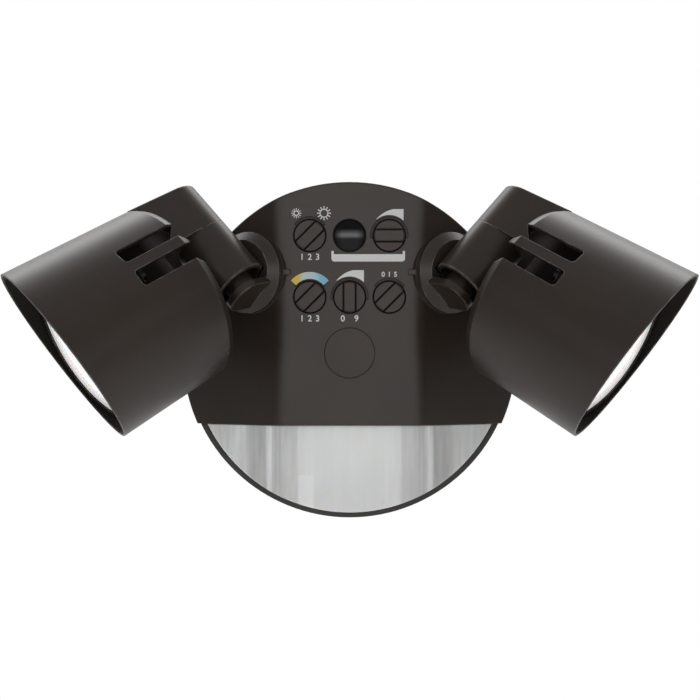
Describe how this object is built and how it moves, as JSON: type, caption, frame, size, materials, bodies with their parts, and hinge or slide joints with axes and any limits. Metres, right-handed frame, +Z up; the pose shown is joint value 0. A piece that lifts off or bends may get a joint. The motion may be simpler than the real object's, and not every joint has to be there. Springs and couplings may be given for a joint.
{
  "type": "motion sensor security light",
  "caption": "Wall light: round faceted canopy, hooded lamp heads on pan and tilt arms, control dials, a photocell window and a translucent motion sensor lens along the lower edge.",
  "frame": {"origin": "centre of the round canopy on the wall plane, at the middle of the junction box screws", "axes": "+X to the right as seen from the front, +Y into the wall, +Z up"},
  "size_m": [0.3078, 0.1444, 0.1585],
  "materials": {
    "gasket_foam": "closed-cell foam, matte black",
    "zinc_steel": "zinc plated",
    "rear_casting": "dark bronze powder coat",
    "grommet_rubber": "matte black",
    "housing_casting": "dark bronze powder coat, satin",
    "swivel_casting": "dark bronze powder coat, satin",
    "head_casting": "dark bronze powder coat, satin",
    "cap_plastic": "dark bronze, moulded",
    "dial_plastic": "dark bronze, moulded",
    "window_plastic": "smoked, polished",
    "sensor_plastic": "translucent grey white, fine moulded",
    "fresnel_plastic": "milky, ribbed",
    "circuit_board": "green solder mask",
    "white_board": "white solder mask",
    "component_black": "moulded black",
    "component_blue": "sleeved",
    "metal_can": "plated can",
    "emitter": "phosphor yellow",
    "reflector_white": "white, satin",
    "lens_diffuser": "frosted white",
    "seal_rubber": "matte black",
    "ring_plastic": "grey, satin"
  },
  "bodies": {
    "canopy": {"wall_gasket": "gasket_foam", "mounting_bracket": "zinc_steel", "mounting_bolt": "zinc_steel", "rear_cover": "rear_casting", "wire_grommet": "grommet_rubber", "front_housing": "housing_casting", "housing_screws": "zinc_steel", "screw_cap": "cap_plastic", "control_board": "circuit_board", "potentiometers": "component_black", "photocell": "component_black", "photocell_window": "window_plastic", "driver_board": "circuit_board", "driver_transformer": "component_black", "driver_capacitors": "component_blue", "sensor_board": "circuit_board", "pir_sensor": "metal_can", "fresnel_lens": "fresnel_plastic", "sensor_lens": "sensor_plastic"},
    "dim_knob": {"dim_dial": "dial_plastic"},
    "daylight_knob": {"daylight_dial": "dial_plastic"},
    "color_knob": {"color_dial": "dial_plastic"},
    "motion_knob": {"motion_dial": "dial_plastic"},
    "mode_knob": {"mode_dial": "dial_plastic"},
    "left_swivel": {"left_swivel_base": "swivel_casting", "left_swivel_seal": "seal_rubber", "left_swivel_washer": "zinc_steel", "left_swivel_nut": "zinc_steel", "left_pivot_washer": "zinc_steel", "left_pivot_screw": "zinc_steel"},
    "left_head": {"left_arm_tube": "head_casting", "left_lamp_body": "head_casting", "left_lamp_shell": "head_casting", "left_led_board": "white_board", "left_led_emitters": "emitter", "left_reflector": "reflector_white", "left_lens_frame": "head_casting", "left_lens_gasket": "seal_rubber", "left_lamp_lens": "lens_diffuser", "left_lens_ring": "ring_plastic", "left_head_screws": "zinc_steel"},
    "right_swivel": {"right_swivel_base": "swivel_casting", "right_swivel_seal": "seal_rubber", "right_swivel_washer": "zinc_steel", "right_swivel_nut": "zinc_steel", "right_pivot_washer": "zinc_steel", "right_pivot_screw": "zinc_steel"},
    "right_head": {"right_arm_tube": "head_casting", "right_lamp_body": "head_casting", "right_lamp_shell": "head_casting", "right_led_board": "white_board", "right_led_emitters": "emitter", "right_reflector": "reflector_white", "right_lens_frame": "head_casting", "right_lens_gasket": "seal_rubber", "right_lamp_lens": "lens_diffuser", "right_lens_ring": "ring_plastic", "right_head_screws": "zinc_steel"}
  },
  "joints": [
    {"name": "dim_turn", "type": "hinge", "parent": "canopy", "child": "dim_knob", "pos_m": [-0.01836, -0.0496, 0.0542], "axis": [0, -1, 0], "range_deg": [0, 90]},
    {"name": "daylight_turn", "type": "hinge", "parent": "canopy", "child": "daylight_knob", "pos_m": [0.01836, -0.0496, 0.0542], "axis": [0, -1, 0], "range_deg": [-180, 0]},
    {"name": "color_turn", "type": "hinge", "parent": "canopy", "child": "color_knob", "pos_m": [-0.01836, -0.0496, 0.0258], "axis": [0, -1, 0], "range_deg": [0, 90]},
    {"name": "motion_turn", "type": "hinge", "parent": "canopy", "child": "motion_knob", "pos_m": [0, -0.0496, 0.0258], "axis": [0, -1, 0], "range_deg": [-90, 90]},
    {"name": "mode_turn", "type": "hinge", "parent": "canopy", "child": "mode_knob", "pos_m": [0.01836, -0.0496, 0.0258], "axis": [0, -1, 0], "range_deg": [0, 90]},
    {"name": "left_pan", "type": "hinge", "parent": "canopy", "child": "left_swivel", "pos_m": [-0.04543, -0.03984, 0.0373], "axis": [-0.5878, -0.809, 0], "range_deg": [-60, 60]},
    {"name": "left_tilt", "type": "hinge", "parent": "left_swivel", "child": "left_head", "pos_m": [-0.05893, -0.05319, 0.04064], "axis": [-0.6344, 0.2646, 0.7263], "range_deg": [-20, 70]},
    {"name": "right_pan", "type": "hinge", "parent": "canopy", "child": "right_swivel", "pos_m": [0.04543, -0.03984, 0.0373], "axis": [-0.5878, 0.809, 0], "range_deg": [-60, 60]},
    {"name": "right_tilt", "type": "hinge", "parent": "right_swivel", "child": "right_head", "pos_m": [0.05893, -0.05319, 0.04064], "axis": [-0.6344, -0.2646, -0.7263], "range_deg": [-20, 70]}
  ]
}
